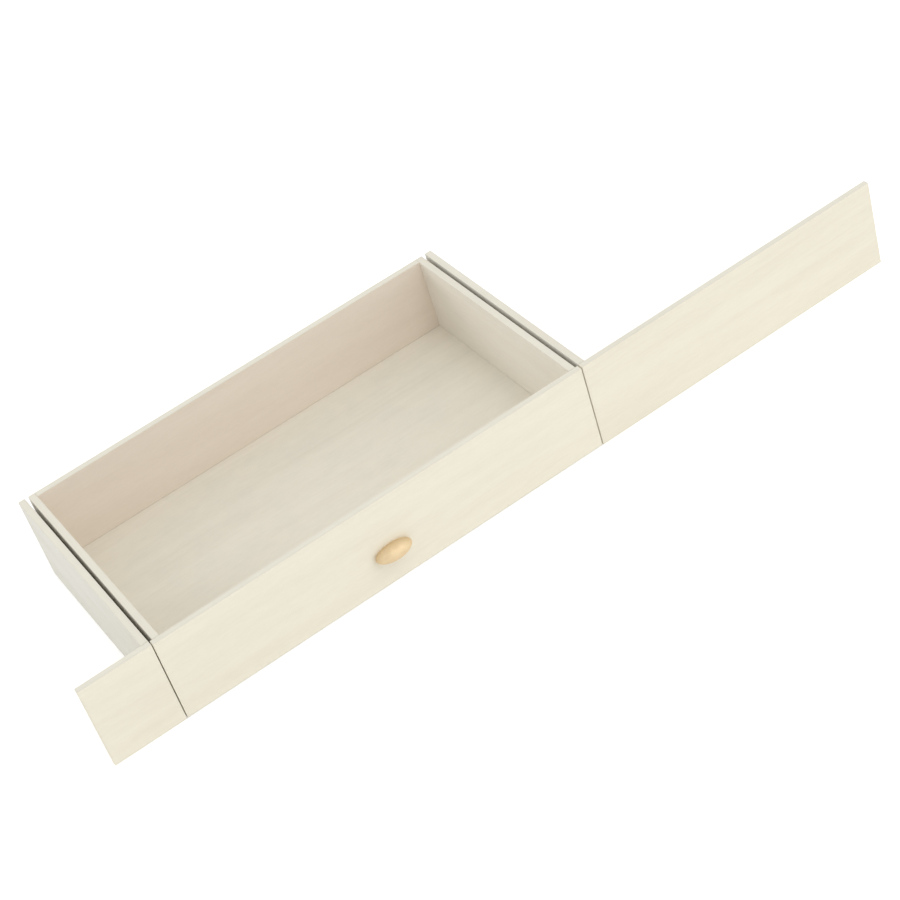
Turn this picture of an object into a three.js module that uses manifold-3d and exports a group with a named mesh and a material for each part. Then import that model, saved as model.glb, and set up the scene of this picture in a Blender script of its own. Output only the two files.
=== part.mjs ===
// Under-desk drawer: a wide, shallow wooden drawer that hangs between two boards under a desk top.
// A short and a long fascia panel fill the front on either side of it, flush with the drawer front.
// Millimetres. X runs along the front, Y from the front face to the back, Z up.
import * as THREE from 'three';
import { mergeVertices } from 'three/addons/utils/BufferGeometryUtils.js';
import Module from 'manifold-3d';

const wasm = await Module();
wasm.setup();

// Boards
const frontThickness = 8;
const boardThickness = 9;
const panelHeight = 120;
const leftFasciaWidth = 93;
const rightFasciaWidth = 430;
const hangerLength = 331;

// Drawer box
const frontWidth = 577.5;
const drawerDepth = 340;
const frontOverhang = 3.25;
const floorThickness = 4;
const floorRaise = 12;
const floorTongue = 4;

// Running clearances of the drawer
const seamWidth = 1.25;
const topClearance = 1;
const bottomClearance = 0.5;
const sideGap = 4.5;

// Clearances of fixed joints
const grooveEndClearance = 0.3;
const grooveFaceClearance = 0.2;
const holeClearance = 0.15;
const holeEndClearance = 0.5;

// Dowels
const dowelDiameter = 5;
const dowelLength = 24;
const dowelFaceDepth = 5.5;
const dowelLowHeight = 25;
const dowelHighHeight = 97;

// Drawer slides: a fixed rail, a moving rail and a ball cage between them
const slideThickness = 8;
const slideHeight = 62;
const railSheet = 0.9;
const railLength = 300;
const railSetback = 4;
const fixedRailHeight = 17;
const fixedRailWidth = 6.6;
const railHook = 0.7;
const grooveSideClearance = 0.8;
const ballDiameter = 2.6;
const ballPlay = 0.1;
const ballOffset = 3.9;
const movingRailLip = 2.2;
const railStopGap = 0.3;
const drawerTravel = 230;

// Ball cage
const cageLength = 66;
const cageSheet = 0.5;
const cageOffset = 1.25;
const cageWidth = 4.35;
const cageFrontMargin = 1;
const ballPitch = 11;

// Slide screws
const screwDiameter = 3;
const screwHeadDiameter = 5.8;
const screwHeadHeight = 1.4;
const fixedScrewLength = 7.9;
const movingScrewLength = 5.6;
const screwTip = 1.2;
const screwsPerRail = 3;
const screwEndDistance = 27;
const recessWidth = 0.7;
const recessLength = 2.8;
const recessDepth = 0.7;

// Oval knob
const knobWidth = 48;
const knobHeight = 20;
const knobProjection = 18.5;
const knobFootWidth = 40;
const knobFootHeight = 1.5;
const knobWidestAt = 5;
const knobCentreHeight = 47;
const knobScrewDiameter = 4;
const knobScrewGrip = 10;
const knobScrewHeadDiameter = 8;
const knobScrewHeadHeight = 2.4;

// Fineness of the round pieces
const roundSegments = 16;
const knobSegments = 32;
const knobRings = 7;
const ballSegments = 10;
const ballRings = 6;

// Layout along X, from the left end of the left fascia
const totalWidth = leftFasciaWidth + seamWidth + frontWidth + seamWidth + rightFasciaWidth;
const drawerCentre = leftFasciaWidth + seamWidth + frontWidth / 2;
const boxHalfWidth = frontWidth / 2 - frontOverhang;
const insideHalfWidth = boxHalfWidth - boardThickness;
const hangerInner = boxHalfWidth + sideGap;

// Layout along Y and Z
const drawerBottom = bottomClearance;
const drawerTop = panelHeight - topClearance;
const boxFront = frontThickness;
const boxBack = drawerDepth;
const insideBack = boxBack - boardThickness;
const floorBottom = drawerBottom + floorRaise;
const floorTop = floorBottom + floorThickness;
const railFront = frontThickness + railSetback;
const slideGrooveDepth = slideThickness - sideGap;

// The ball race, measured from the slide's centre line
const fixedRailHalf = fixedRailHeight / 2;
const raceOuter = fixedRailHalf - railSheet;
const ballRow = raceOuter - ballPlay - ballDiameter / 2;
const raceInner = ballRow - ballDiameter / 2 - ballPlay;

const colours = {
  frontWood: 0xeee8d6,
  fasciaWood: 0xf0ebd9,
  boardWood: 0xe5e0d2,
  trayWood: 0xd6cbb8,
  dowelWood: 0xcdb38a,
  zinc: 0xb9bcc0,
  brass: 0xdca85a,
};

function wood(colour) {
  return new THREE.MeshStandardMaterial({ color: colour, roughness: 0.62, metalness: 0 });
}

function metal(colour, roughness) {
  return new THREE.MeshStandardMaterial({ color: colour, roughness, metalness: 1 });
}

// Solids from three.js geometry, and back
function toSolid(geometry) {
  const bare = geometry.clone();
  bare.deleteAttribute('normal');
  bare.deleteAttribute('uv');
  const merged = mergeVertices(bare, 1e-4);
  return new wasm.Manifold(new wasm.Mesh({
    numProp: 3,
    vertProperties: new Float32Array(merged.attributes.position.array),
    triVerts: new Uint32Array(merged.index.array),
  }));
}

function toGeometry(solid) {
  const mesh = solid.getMesh();
  const geometry = new THREE.BufferGeometry();
  geometry.setAttribute('position', new THREE.BufferAttribute(new Float32Array(mesh.vertProperties), 3));
  geometry.setIndex(new THREE.BufferAttribute(new Uint32Array(mesh.triVerts), 1));
  geometry.computeVertexNormals();
  return geometry;
}

function cut(geometry, tools) {
  let solid = toSolid(geometry);
  for (const tool of tools) {
    solid = solid.subtract(toSolid(tool));
  }
  return toGeometry(solid);
}

function join(geometry, additions) {
  let solid = toSolid(geometry);
  for (const addition of additions) {
    solid = solid.add(toSolid(addition));
  }
  return toGeometry(solid);
}

// A box between two corners
function block(x0, x1, y0, y1, z0, z1) {
  const low = new THREE.Vector3(Math.min(x0, x1), y0, z0);
  const high = new THREE.Vector3(Math.max(x0, x1), y1, z1);
  const size = high.clone().sub(low);
  const centre = high.clone().add(low).multiplyScalar(0.5);
  const geometry = new THREE.BoxGeometry(size.x, size.y, size.z);
  geometry.translate(centre.x, centre.y, centre.z);
  return geometry;
}

// A round rod along +Y from y0 to y1
function rodAlongY(diameter, x, y0, y1, z) {
  const geometry = new THREE.CylinderGeometry(diameter / 2, diameter / 2, y1 - y0, roundSegments);
  geometry.translate(x, (y0 + y1) / 2, z);
  return geometry;
}

// A round rod along X from x0 to x1, in either direction
function rodAlongX(diameter, x0, x1, y, z) {
  const length = Math.abs(x1 - x0);
  const geometry = new THREE.CylinderGeometry(diameter / 2, diameter / 2, length, roundSegments);
  geometry.rotateZ(Math.PI / 2);
  geometry.translate((x0 + x1) / 2, y, z);
  return geometry;
}

// A flat profile in X and Z, drawn out from y0 to y1
function profileAlongY(points, y0, y1) {
  const shape = new THREE.Shape(points.map(([x, z]) => new THREE.Vector2(x, z)));
  const geometry = new THREE.ExtrudeGeometry(shape, { depth: y1 - y0, bevelEnabled: false });
  geometry.rotateX(Math.PI / 2);
  geometry.translate(0, y1, 0);
  return geometry;
}

// A turned solid whose axis runs along X from its starting face, towards +X or -X
function turnedAlongX(profile, direction, x, y, z) {
  const points = profile.map(([radius, along]) => new THREE.Vector2(radius, along));
  const geometry = new THREE.LatheGeometry(points, roundSegments);
  geometry.rotateZ(-direction * Math.PI / 2);
  geometry.translate(x, y, z);
  return geometry;
}

// A countersunk wood screw with a cross recess, driven along X from the face at x
function countersunkScrew(length, direction, x, y, z) {
  const profile = [
    [0, 0],
    [screwHeadDiameter / 2, 0],
    [screwDiameter / 2, screwHeadHeight],
    [screwDiameter / 2, length - screwTip],
    [0, length],
  ];
  const screw = turnedAlongX(profile, direction, x, y, z);
  const deep = x + direction * recessDepth;
  const out = x - direction * recessDepth;
  const halfLong = recessLength / 2;
  const halfWide = recessWidth / 2;
  return cut(screw, [
    block(out, deep, y - halfLong, y + halfLong, z - halfWide, z + halfWide),
    block(out, deep, y - halfWide, y + halfWide, z - halfLong, z + halfLong),
  ]);
}

// The hole for such a screw, open at the face it is driven from
function countersunkHole(length, direction, x, y, z) {
  const depth = length + holeEndClearance;
  const head = screwHeadDiameter / 2 + holeClearance;
  const shank = screwDiameter / 2 + holeClearance;
  const profile = [
    [0, -railSheet],
    [head, -railSheet],
    [head, 0],
    [shank, screwHeadHeight + holeClearance],
    [shank, depth],
    [0, depth],
  ];
  return turnedAlongX(profile, direction, x, y, z);
}

// The footprint's centre, with the knob, is the origin; everything is built from the front left corner
const assembly = new THREE.Group();
assembly.position.set(-totalWidth / 2, -(drawerDepth - knobProjection) / 2, 0);
const drawer = new THREE.Group();
assembly.add(drawer);

function addPiece(parent, name, geometry, material) {
  const mesh = new THREE.Mesh(geometry, material);
  mesh.name = name;
  parent.add(mesh);
}

const dowelHole = dowelDiameter + 2 * holeClearance;
const dowelHeights = { low: dowelLowHeight, high: dowelHighHeight };
const dowelEndDepth = dowelLength - dowelFaceDepth;

// A dowel hole along Y through the joint face at y, and the dowel in it
function dowelHoleAlongY(x, y, z) {
  const front = y - dowelFaceDepth - holeEndClearance;
  return rodAlongY(dowelHole, x, front, y + dowelEndDepth + holeEndClearance, z);
}

function dowelAlongY(x, y, z) {
  return rodAlongY(dowelDiameter, x, y - dowelFaceDepth, y + dowelEndDepth, z);
}

// Screw rows along the rails
function screwRow(front, length) {
  const pitch = (length - 2 * screwEndDistance) / (screwsPerRail - 1);
  return Array.from({ length: screwsPerRail }, (_, i) => front + screwEndDistance + i * pitch);
}

const movingRailLength = railLength - railSheet - railStopGap;
const fixedScrewRow = screwRow(railFront, railLength);
const movingScrewRow = screwRow(railFront, movingRailLength);

// Holes that the drawer front takes from its neighbours
const frontTools = [];
const backTools = [];

for (const [side, sign] of [['left', -1], ['right', 1]]) {
  // Distances across the joint are measured outwards from the drawer's centre
  const across = (distance) => drawerCentre + sign * distance;
  const hangerOuter = hangerInner + boardThickness;
  const hangerMiddle = hangerInner + boardThickness / 2;
  const hangerFront = frontThickness;
  const hangerBack = hangerFront + hangerLength;

  // Hanger board, with the fascia doweled to its front end and the fixed rail screwed to its inner face
  const hangerTools = [];
  const fasciaTools = [];
  for (const [level, height] of Object.entries(dowelHeights)) {
    const hole = dowelHoleAlongY(across(hangerMiddle), hangerFront, height);
    hangerTools.push(hole);
    fasciaTools.push(hole);
    const dowel = dowelAlongY(across(hangerMiddle), hangerFront, height);
    addPiece(assembly, `${side}_fascia_dowel_${level}`, dowel, wood(colours.dowelWood));
  }
  const slideBase = across(hangerInner);
  const slideX = (distance) => slideBase - sign * distance;
  const fixedHoles = fixedScrewRow.map((y) => (
    countersunkHole(fixedScrewLength, sign, slideX(railSheet), y, slideHeight)
  ));
  hangerTools.push(...fixedHoles);
  const hanger = block(across(hangerInner), across(hangerOuter), hangerFront, hangerBack, 0, panelHeight);
  addPiece(assembly, `${side}_hanger_board`, cut(hanger, hangerTools), wood(colours.boardWood));

  // Fascia panel, flush with the drawer front
  const fasciaInner = frontWidth / 2 + seamWidth;
  const fasciaWidth = sign < 0 ? leftFasciaWidth : rightFasciaWidth;
  const fasciaOuter = fasciaInner + fasciaWidth;
  const fascia = block(across(fasciaInner), across(fasciaOuter), 0, frontThickness, 0, panelHeight);
  addPiece(assembly, `${side}_fascia_panel`, cut(fascia, fasciaTools), wood(colours.fasciaWood));

  // Slide profiles: distances inwards from the hanger board, and heights from the slide's centre line
  const atSlide = (points) => points.map(([distance, height]) => [slideX(distance), slideHeight + height]);

  // Fixed rail: a channel with hooked lips, closed at the back by a bent stop
  const lipInner = fixedRailWidth - railSheet;
  const fixedProfile = atSlide([
    [0, -fixedRailHalf],
    [fixedRailWidth, -fixedRailHalf],
    [fixedRailWidth, -raceOuter + railHook],
    [lipInner, -raceOuter + railHook],
    [lipInner, -raceOuter],
    [railSheet, -raceOuter],
    [railSheet, raceOuter],
    [lipInner, raceOuter],
    [lipInner, raceOuter - railHook],
    [fixedRailWidth, raceOuter - railHook],
    [fixedRailWidth, fixedRailHalf],
    [0, fixedRailHalf],
  ]);
  const railBack = railFront + railLength;
  const channel = profileAlongY(fixedProfile, railFront, railBack);
  const stop = block(
    slideX(0), slideX(lipInner), railBack - railSheet, railBack,
    slideHeight - fixedRailHalf, slideHeight + fixedRailHalf,
  );
  const fixedRail = cut(join(channel, [stop]), fixedHoles);
  addPiece(assembly, `${side}_fixed_rail`, fixedRail, metal(colours.zinc, 0.38));
  fixedScrewRow.forEach((y, i) => {
    const screw = countersunkScrew(fixedScrewLength, sign, slideX(railSheet), y, slideHeight);
    addPiece(assembly, `${side}_fixed_rail_screw_${i + 1}`, screw, metal(colours.zinc, 0.3));
  });

  // Moving rail: a narrower channel facing the fixed one, let into the drawer side
  const movingFace = slideThickness - railSheet;
  const flangeInner = raceInner - railSheet;
  const movingProfile = atSlide([
    [slideThickness, -raceInner],
    [slideThickness, raceInner],
    [movingRailLip, raceInner],
    [movingRailLip, flangeInner],
    [movingFace, flangeInner],
    [movingFace, -flangeInner],
    [movingRailLip, -flangeInner],
    [movingRailLip, -raceInner],
  ]);
  const movingHoles = movingScrewRow.map((y) => (
    countersunkHole(movingScrewLength, -sign, slideX(movingFace), y, slideHeight)
  ));
  const movingChannel = profileAlongY(movingProfile, railFront, railFront + movingRailLength);
  const movingGeometry = cut(movingChannel, movingHoles);
  addPiece(drawer, `${side}_moving_rail`, movingGeometry, metal(colours.zinc, 0.38));
  movingScrewRow.forEach((y, i) => {
    const screw = countersunkScrew(movingScrewLength, -sign, slideX(movingFace), y, slideHeight);
    addPiece(drawer, `${side}_moving_rail_screw_${i + 1}`, screw, metal(colours.zinc, 0.3));
  });

  // Ball cage: it rolls half as far as the drawer, and stays inside both rails all the way
  const cageFront = railFront + drawerTravel / 2 + cageFrontMargin;
  const cageHalf = ballRow + cageSheet / 2;
  const cageInner = ballRow - cageSheet / 2;
  const cageProfile = atSlide([
    [cageOffset, -cageHalf],
    [cageOffset, cageHalf],
    [cageOffset + cageWidth, cageHalf],
    [cageOffset + cageWidth, cageInner],
    [cageOffset + cageSheet, cageInner],
    [cageOffset + cageSheet, -cageInner],
    [cageOffset + cageWidth, -cageInner],
    [cageOffset + cageWidth, -cageHalf],
  ]);
  const balls = [];
  const ballsPerRow = Math.floor(cageLength / ballPitch);
  const firstBall = cageFront + (cageLength - (ballsPerRow - 1) * ballPitch) / 2;
  for (let i = 0; i < ballsPerRow; i += 1) {
    for (const row of [-ballRow, ballRow]) {
      const ball = new THREE.SphereGeometry(ballDiameter / 2, ballSegments, ballRings);
      ball.translate(slideX(ballOffset), firstBall + i * ballPitch, slideHeight + row);
      balls.push(ball);
    }
  }
  const cage = join(profileAlongY(cageProfile, cageFront, cageFront + cageLength), balls);
  addPiece(assembly, `${side}_ball_cage`, cage, metal(colours.zinc, 0.45));

  // Drawer side: grooved outside for the slide and inside for the floor, doweled at both ends
  const sideMiddle = boxHalfWidth - boardThickness / 2;
  const grooveHalf = fixedRailHalf + grooveSideClearance;
  const sideTools = [
    block(
      across(boxHalfWidth - slideGrooveDepth), across(boxHalfWidth + boardThickness),
      boxFront - boardThickness, boxBack + boardThickness,
      slideHeight - grooveHalf, slideHeight + grooveHalf,
    ),
    block(
      across(insideHalfWidth - boardThickness), across(insideHalfWidth + floorTongue + grooveEndClearance),
      boxFront - boardThickness, insideBack + floorTongue + grooveEndClearance,
      floorBottom, floorTop + grooveFaceClearance,
    ),
    ...movingHoles,
  ];
  for (const [level, height] of Object.entries(dowelHeights)) {
    const frontHole = dowelHoleAlongY(across(sideMiddle), boxFront, height);
    sideTools.push(frontHole);
    frontTools.push(frontHole);
    const frontDowel = dowelAlongY(across(sideMiddle), boxFront, height);
    addPiece(drawer, `${side}_front_dowel_${level}`, frontDowel, wood(colours.dowelWood));

    const y = boxBack - boardThickness / 2;
    const outer = insideHalfWidth + dowelFaceDepth;
    const inner = insideHalfWidth - dowelEndDepth;
    const backHole = rodAlongX(
      dowelHole, across(outer + holeEndClearance), across(inner - holeEndClearance), y, height,
    );
    sideTools.push(backHole);
    backTools.push(backHole);
    const backDowel = rodAlongX(dowelDiameter, across(outer), across(inner), y, height);
    addPiece(drawer, `${side}_back_dowel_${level}`, backDowel, wood(colours.dowelWood));
  }
  const drawerSide = block(
    across(insideHalfWidth), across(boxHalfWidth), boxFront, boxBack, drawerBottom, drawerTop,
  );
  addPiece(drawer, `drawer_${side}_side`, cut(drawerSide, sideTools), wood(colours.trayWood));
}

// Drawer floor, held in grooves all round
const inLeft = drawerCentre - insideHalfWidth;
const inRight = drawerCentre + insideHalfWidth;
const floor = block(
  inLeft - floorTongue, inRight + floorTongue, boxFront - floorTongue, insideBack + floorTongue,
  floorBottom, floorTop,
);
addPiece(drawer, 'drawer_floor', floor, wood(colours.trayWood));

const groove = floorTongue + grooveEndClearance;
const floorGroove = block(
  inLeft - groove, inRight + groove, boxFront - groove, insideBack + groove,
  floorBottom, floorTop + grooveFaceClearance,
);
frontTools.push(floorGroove);
backTools.push(floorGroove);

// Drawer back, between the sides
const back = block(inLeft, inRight, insideBack, boxBack, drawerBottom, drawerTop);
addPiece(drawer, 'drawer_back', cut(back, backTools), wood(colours.trayWood));

// Drawer front, with the knob's screw hole through its middle
const knobHole = rodAlongY(
  knobScrewDiameter + 2 * holeClearance, drawerCentre, -frontThickness, 2 * frontThickness, knobCentreHeight,
);
frontTools.push(knobHole);
const front = block(
  drawerCentre - frontWidth / 2, drawerCentre + frontWidth / 2, 0, frontThickness, drawerBottom, drawerTop,
);
addPiece(drawer, 'drawer_front', cut(front, frontTools), wood(colours.frontWood));

// Oval knob: a turned dome on a short foot, flattened in height
const knobRadius = knobWidth / 2;
const footRadius = knobFootWidth / 2;
const knobPoints = [[0, 0], [footRadius, 0], [footRadius, knobFootHeight]];
for (let i = 1; i <= knobRings; i += 1) {
  const angle = (i / knobRings) * Math.PI / 2;
  knobPoints.push([
    footRadius + (knobRadius - footRadius) * Math.sin(angle),
    knobWidestAt - (knobWidestAt - knobFootHeight) * Math.cos(angle),
  ]);
}
for (let i = 1; i < knobRings; i += 1) {
  const angle = (i / knobRings) * Math.PI / 2;
  knobPoints.push([
    knobRadius * Math.cos(angle),
    knobWidestAt + (knobProjection - knobWidestAt) * Math.sin(angle),
  ]);
}
knobPoints.push([0, knobProjection]);
const knob = new THREE.LatheGeometry(knobPoints.map(([r, y]) => new THREE.Vector2(r, y)), knobSegments);
knob.rotateX(Math.PI);
knob.scale(1, 1, knobHeight / knobWidth);
knob.translate(drawerCentre, 0, knobCentreHeight);
const knobBore = rodAlongY(
  knobScrewDiameter + 2 * holeClearance, drawerCentre,
  -knobScrewGrip - holeEndClearance, frontThickness, knobCentreHeight,
);
addPiece(drawer, 'knob', cut(knob, [knobBore]), metal(colours.brass, 0.28));

// Knob screw, from inside the drawer
const knobScrewShank = rodAlongY(
  knobScrewDiameter, drawerCentre, -knobScrewGrip, frontThickness + knobScrewHeadHeight / 2, knobCentreHeight,
);
const knobScrewHead = rodAlongY(
  knobScrewHeadDiameter, drawerCentre, frontThickness, frontThickness + knobScrewHeadHeight, knobCentreHeight,
);
addPiece(drawer, 'knob_screw', join(knobScrewHead, [knobScrewShank]), metal(colours.zinc, 0.3));

export default assembly;
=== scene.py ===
# Under-desk drawer in whitewashed wood, with ball slides and an oval brass knob.
# Metres. X runs along the front, Y from the front to the back, Z up.
import math

import bmesh
import bpy
from mathutils import Matrix, Vector


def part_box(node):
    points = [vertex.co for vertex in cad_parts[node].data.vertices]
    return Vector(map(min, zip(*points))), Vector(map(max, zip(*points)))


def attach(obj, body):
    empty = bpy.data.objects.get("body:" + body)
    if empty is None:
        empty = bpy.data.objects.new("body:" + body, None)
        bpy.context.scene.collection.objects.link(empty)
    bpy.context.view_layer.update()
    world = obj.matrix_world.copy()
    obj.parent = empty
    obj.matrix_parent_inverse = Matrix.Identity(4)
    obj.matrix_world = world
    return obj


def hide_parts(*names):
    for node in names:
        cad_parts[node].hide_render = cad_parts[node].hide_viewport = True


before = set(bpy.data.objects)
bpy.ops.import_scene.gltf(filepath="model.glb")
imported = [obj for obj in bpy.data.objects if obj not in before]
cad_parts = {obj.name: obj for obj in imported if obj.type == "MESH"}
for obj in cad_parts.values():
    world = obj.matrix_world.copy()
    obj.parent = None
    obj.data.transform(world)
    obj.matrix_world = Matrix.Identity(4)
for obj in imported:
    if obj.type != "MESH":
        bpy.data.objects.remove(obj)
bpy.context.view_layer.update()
scene = bpy.context.scene
scene.view_settings.view_transform = "Standard"
MM = 0.001

# Camera

CAMERA_PLACE = (-0.76564, -1.95334, 1.71309)
CAMERA_TURN = (0.847957, 0.431545, -0.005249, -0.30775)
CAMERA_LENS = 89.815
CAMERA_SHIFT = (0.0336, -0.0202)

camera_data = bpy.data.cameras.new("camera")
camera_data.sensor_width = 36.0
camera_data.lens = CAMERA_LENS
camera_data.shift_x, camera_data.shift_y = CAMERA_SHIFT
camera = bpy.data.objects.new("camera", camera_data)
camera.rotation_mode = "QUATERNION"
camera.rotation_quaternion = CAMERA_TURN
camera.location = CAMERA_PLACE
scene.collection.objects.link(camera)
scene.camera = camera

# Sizes

# Softened edges of the boards; an edge shorter than SHORTEST_EASED stays sharp
BOARD_ARRIS = 0.7 * MM
FLOOR_ARRIS = 0.3 * MM
SHORTEST_EASED = 4.5 * MM
# The floor fills its groove but for a hair, so no crack shows round it
FLOOR_RISE = 0.15 * MM
# Corners this close are one corner
MERGE_DISTANCE = 1e-6

# Slides: a distance is measured from the hanger board inwards, a height from the slide's middle
SLIDE_HEIGHT = 62.0 * MM
SHEET = 0.9 * MM
BEND = 0.7 * MM
CAGE_SHEET = 0.5 * MM
CAGE_BEND = 0.5 * MM
FIXED_RAIL = [(6.15, 6.9), (6.15, 8.05), (0.45, 8.05), (0.45, -8.05), (6.15, -8.05), (6.15, -6.9)]
MOVING_RAIL = [(2.2, 4.35), (7.55, 4.35), (7.55, -4.35), (2.2, -4.35)]
CAGE = [(5.6, 6.2), (1.5, 6.2), (1.5, -6.2), (5.6, -6.2)]
STOP_WIDTH = 5.7 * MM
STOP_ARRIS = 0.25 * MM

# Balls, in a row above and a row below the slide's middle
BALL_DIAMETER = 2.6 * MM
BALL_POCKET = 2.8 * MM
BALL_DISTANCE = 3.9 * MM
BALL_ROW = 6.2 * MM
BALL_PITCH = 11.0 * MM
BALLS_IN_ROW = 6
# The pockets are drilled this far up and down from the middle, through both flanges of the cage
POCKET_REACH = 9.0 * MM
POCKET_SIDES = 24

# Rail screws; a recess is the length, width and depth of the cross in a head
SCREW_HEAD = 5.8 * MM
SCREW_HEAD_DEPTH = 1.4 * MM
SCREW_RIM_DEPTH = 0.22 * MM
SCREW_RIM_CHAMFER = 0.08 * MM
SCREW_DIAMETER = 3.0 * MM
SCREW_ROOT = 2.1 * MM
SCREW_PITCH = 1.2 * MM
SCREW_TIP = 1.2 * MM
SCREW_RECESS = (2.8 * MM, 0.7 * MM, 0.8 * MM)
SCREWS_IN_ROW = 3
FIXED_SCREW_LENGTH = 7.9 * MM
MOVING_SCREW_LENGTH = 5.6 * MM
SCREW_PLAY = 0.15 * MM
HOLE_DEPTH = 4.0 * MM
SCREW_SIDES = 24
HOLE_SIDES = 32

# Dowels
DOWEL_DIAMETER = 5.0 * MM
DOWEL_LENGTH = 24.0 * MM
DOWEL_CHAMFER = 0.8 * MM
DOWEL_FLUTES = 20
FLUTE_DEPTH = 0.18 * MM

# Oval knob, measured from the drawer front outwards; its foot's wall is straight up to KNOB_FOOT_WALL
KNOB_WIDTH = 48.0 * MM
KNOB_HEIGHT = 20.0 * MM
KNOB_PROJECTION = 18.5 * MM
KNOB_FOOT_WIDTH = 40.0 * MM
KNOB_FOOT_CHAMFER = 0.3 * MM
KNOB_FOOT_WALL = 1.1 * MM
KNOB_FOOT_HEIGHT = 1.5 * MM
KNOB_WIDEST_AT = 5.0 * MM
KNOB_BORE = 4.3 * MM
KNOB_BORE_DEPTH = 10.5 * MM
KNOB_SIDES = 96
KNOB_STEPS = 24

# Knob screw, driven from inside the drawer
KNOB_SCREW_HEAD = 8.0 * MM
KNOB_SCREW_HEAD_DEPTH = 2.4 * MM
KNOB_SCREW_LENGTH = KNOB_SCREW_HEAD_DEPTH + 18.0 * MM
KNOB_SCREW_DIAMETER = 4.0 * MM
KNOB_SCREW_ROOT = 3.2 * MM
KNOB_SCREW_PITCH = 0.7 * MM
KNOB_SCREW_TIP = 1.0 * MM
KNOB_SCREW_RECESS = (4.4 * MM, 1.0 * MM, 1.3 * MM)

# Finishes, as seen on screen; the boards share one whitewashed wood, and the darker tones of the hanger,
# back board and floor are painted shade, the back board's also pinker

FRONT_WOOD = (0.931, 0.911, 0.844)
FASCIA_WOOD = (0.929, 0.908, 0.840)
# The hanger's, back board's and floor's tones are the wood darkened by painted shade, the back board's
# also pinker
HANGER_WOOD_WITH_SHADE = (0.869, 0.862, 0.822)
SIDE_WOOD = (0.920, 0.902, 0.862)
BACK_WOOD_WITH_SHADE = (0.894, 0.853, 0.802)
FLOOR_WOOD_WITH_SHADE = (0.896, 0.875, 0.819)
# Painted shade for the boards' upward top edges, darker and greyer than their fronts
TOP_SHADE_WOOD = (0.889, 0.874, 0.818)
DOWEL_WOOD = (0.82, 0.72, 0.56)
ZINC = (0.74, 0.75, 0.76)
BRIGHT_STEEL = (0.82, 0.82, 0.82)
BRASS = (0.885, 0.806, 0.669)
DUST = (0.72, 0.70, 0.66)
PAPER = (0.95, 0.95, 0.95)
WHITE = (1.0, 1.0, 1.0)


def linear(colour):
    """A screen colour as the renderer wants it, fully opaque."""
    def channel(c):
        return c / 12.92 if c <= 0.04045 else ((c + 0.055) / 1.055) ** 2.4
    return (*map(channel, colour), 1.0)


def toned(colour, factor, warmth=0.0):
    """The same colour made lighter or darker, and warmer or cooler."""
    red, green, blue = colour
    return (red * factor * (1 + warmth), green * factor, blue * factor * (1 - warmth))


# Node trees

class Tree:
    """Short calls for adding nodes to a tree and joining them."""

    def __init__(self, tree):
        self.tree = tree

    def feed(self, socket, value):
        """Joins the socket to another one, or sets its value."""
        if isinstance(value, bpy.types.NodeSocket):
            self.tree.links.new(value, socket)
        else:
            socket.default_value = value

    def add(self, kind, settings=None, **inputs):
        """A new node; an input is named with _ for each space."""
        node = self.tree.nodes.new(kind)
        for key, value in (settings or {}).items():
            setattr(node, key, value)
        for key, value in inputs.items():
            self.feed(node.inputs[key.replace("_", " ")], value)
        return node

    def _operate(self, kind, operation, values):
        node = self.tree.nodes.new(kind)
        node.operation = operation
        for socket, value in zip(node.inputs, values):
            self.feed(socket, value)
        return node

    def math(self, operation, *values):
        return self._operate("ShaderNodeMath", operation, values).outputs[0]

    def vector(self, operation, *values):
        return self._operate("ShaderNodeVectorMath", operation, values).outputs["Vector"]

    def length(self, value):
        return self._operate("ShaderNodeVectorMath", "LENGTH", [value]).outputs["Value"]

    def combine(self, x, y, z):
        return self.add("ShaderNodeCombineXYZ", X=x, Y=y, Z=z).outputs[0]

    def span(self, value, low, high, to_low=0.0, to_high=1.0):
        """Eases from to_low to to_high while value goes from low to high."""
        node = self.add("ShaderNodeMapRange", {"interpolation_type": "SMOOTHSTEP"})
        for socket, given in zip(node.inputs, (value, low, high, to_low, to_high)):
            self.feed(socket, given)
        return node.outputs[0]

    def mix(self, factor, first, second, blend="MIX"):
        """Two colours mixed. The colour sockets come after those for numbers and vectors."""
        node = self.add("ShaderNodeMix", {"data_type": "RGBA", "blend_type": blend})
        self.feed(node.inputs[0], factor)
        self.feed(node.inputs[6], first)
        self.feed(node.inputs[7], second)
        return node.outputs[2]

    def noise(self, vector, scale=1.0, detail=3.0, roughness=0.5):
        node = self.add(
            "ShaderNodeTexNoise", Vector=vector, Scale=scale, Detail=detail, Roughness=roughness
        )
        return node.outputs[0]

    def stretched_noise(self, vector, factors, **settings):
        return self.noise(self.vector("MULTIPLY", vector, factors), **settings)


def emptied_tree(owner):
    """The node tree of a new material or world, without the nodes it comes with."""
    owner.use_nodes = True
    owner.node_tree.nodes.clear()
    return Tree(owner.node_tree)


def new_group(name, kind, inputs, outputs):
    """A node group; each input is (name, socket kind, value) and each output (name, socket kind)."""
    group = bpy.data.node_groups.new(name, kind)
    for title, socket_kind, value in inputs:
        socket = group.interface.new_socket(
            name=title, in_out="INPUT", socket_type=f"NodeSocket{socket_kind}"
        )
        if value is not None:
            socket.default_value = value
    for title, socket_kind in outputs:
        group.interface.new_socket(
            name=title, in_out="OUTPUT", socket_type=f"NodeSocket{socket_kind}"
        )
    tree = Tree(group)
    return group, tree, tree.add("NodeGroupInput").outputs, tree.add("NodeGroupOutput").inputs


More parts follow.
